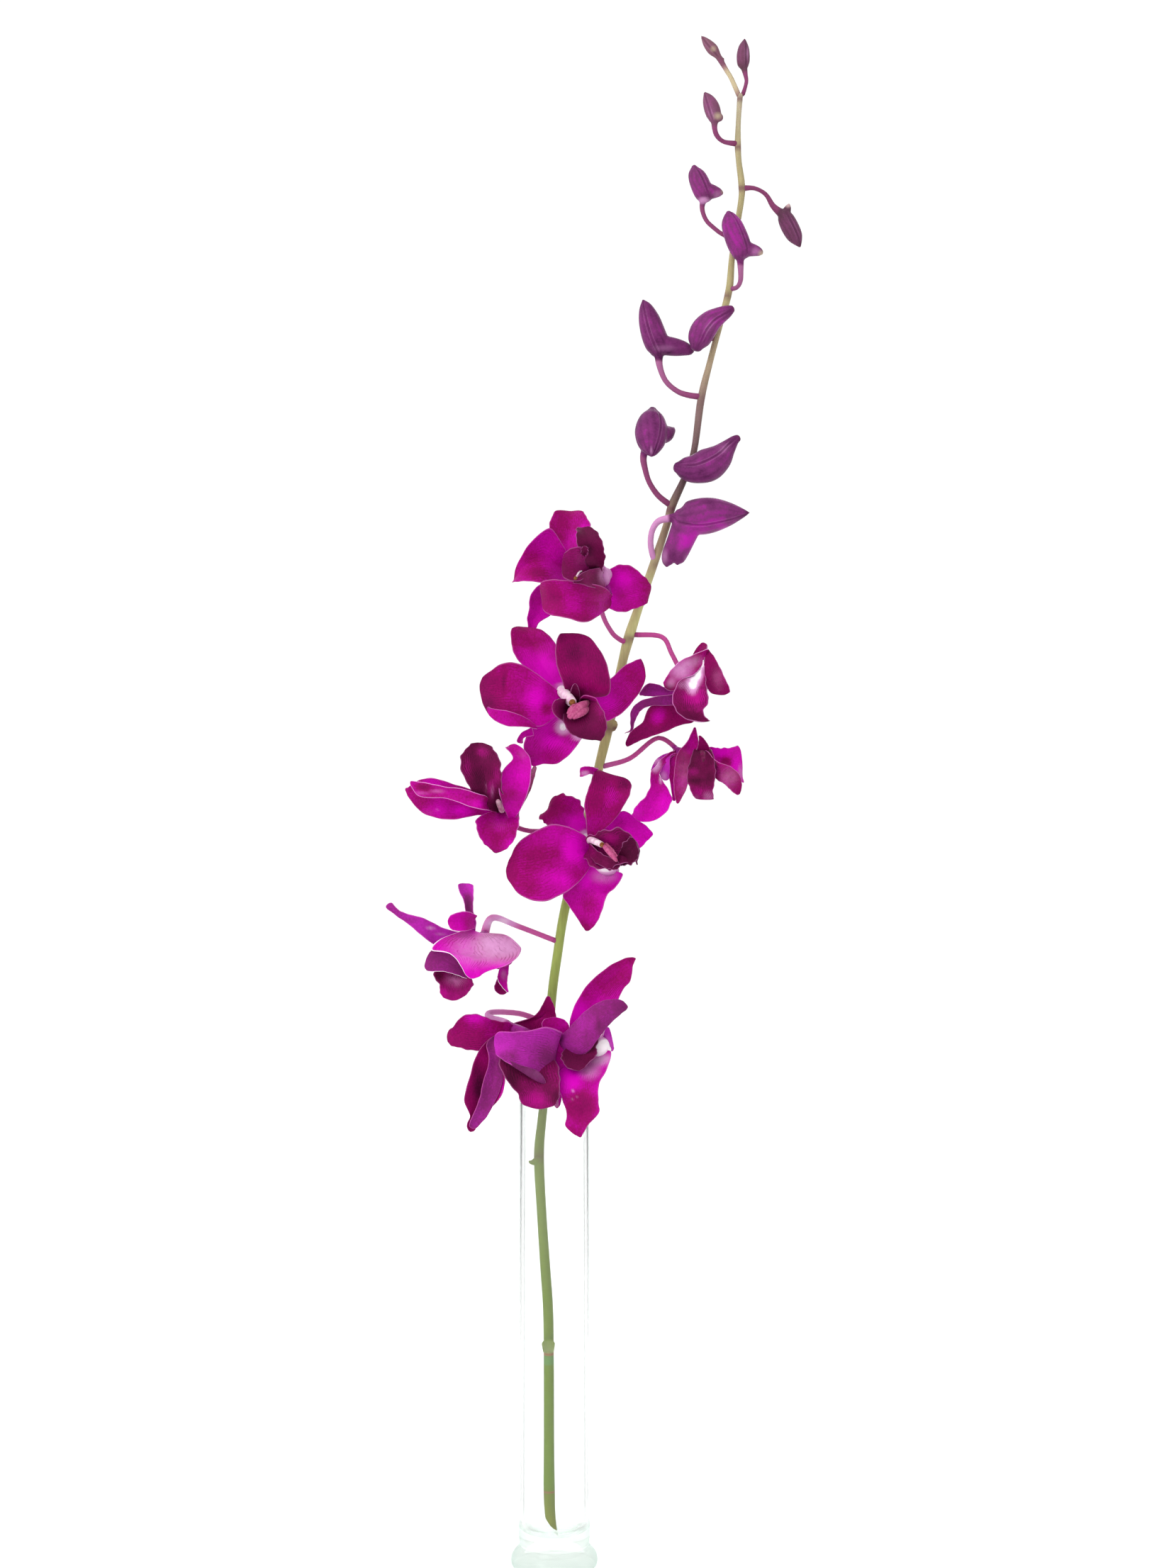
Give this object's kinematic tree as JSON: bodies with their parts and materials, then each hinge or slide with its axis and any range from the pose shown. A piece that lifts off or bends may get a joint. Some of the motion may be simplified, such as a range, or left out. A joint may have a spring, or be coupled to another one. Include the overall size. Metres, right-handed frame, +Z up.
{
  "type": "dendrobium orchid in vase",
  "caption": "Cut magenta dendrobium orchid spray with open flowers and closed buds, leaning in a tall slim clear glass vase that stands on a small round foot.",
  "frame": {"origin": "centre of the vase's flat foot, where it stands", "axes": "+Z up the vase, +X to the right as the picture shows it, -Y towards the viewer of the picture"},
  "size_m": [0.1653, 0.0468, 0.6047],
  "materials": {
    "glass": "clear smooth glass with a faint green tint, dry inside",
    "stem": "satin green plant stem, purplish and straw-coloured higher up",
    "petal": "soft satin magenta petals with paler veins and rims",
    "lip": "velvety deep maroon",
    "column": "waxy pale pink to white",
    "bud": "satin dull purple"
  },
  "bodies": {
    "root": {"vase": "glass", "stem": "stem", "bloom_a_tepals": "petal", "bloom_a_lip": "lip", "bloom_a_column": "column", "bloom_b_tepals": "petal", "bloom_b_lip": "lip", "bloom_b_column": "column", "bloom_c_tepals": "petal", "bloom_c_lip": "lip", "bloom_c_column": "column", "bloom_d_tepals": "petal", "bloom_d_lip": "lip", "bloom_d_column": "column", "bloom_e_tepals": "petal", "bloom_e_lip": "lip", "bloom_e_column": "column", "bloom_f_tepals": "petal", "bloom_f_lip": "lip", "bloom_f_column": "column", "bloom_g_tepals": "petal", "bloom_g_lip": "lip", "bloom_g_column": "column", "bloom_h_tepals": "petal", "bloom_h_lip": "lip", "bloom_h_column": "column", "bloom_i_tepals": "petal", "bloom_i_lip": "lip", "bloom_i_column": "column", "bud_1": "bud", "bud_2": "bud", "bud_3": "bud", "bud_4": "bud", "bud_5": "bud", "bud_6": "bud", "bud_7": "bud", "bud_8": "bud", "bud_9": "bud", "bud_10": "bud", "bud_11": "bud"}
  },
  "joints": []
}
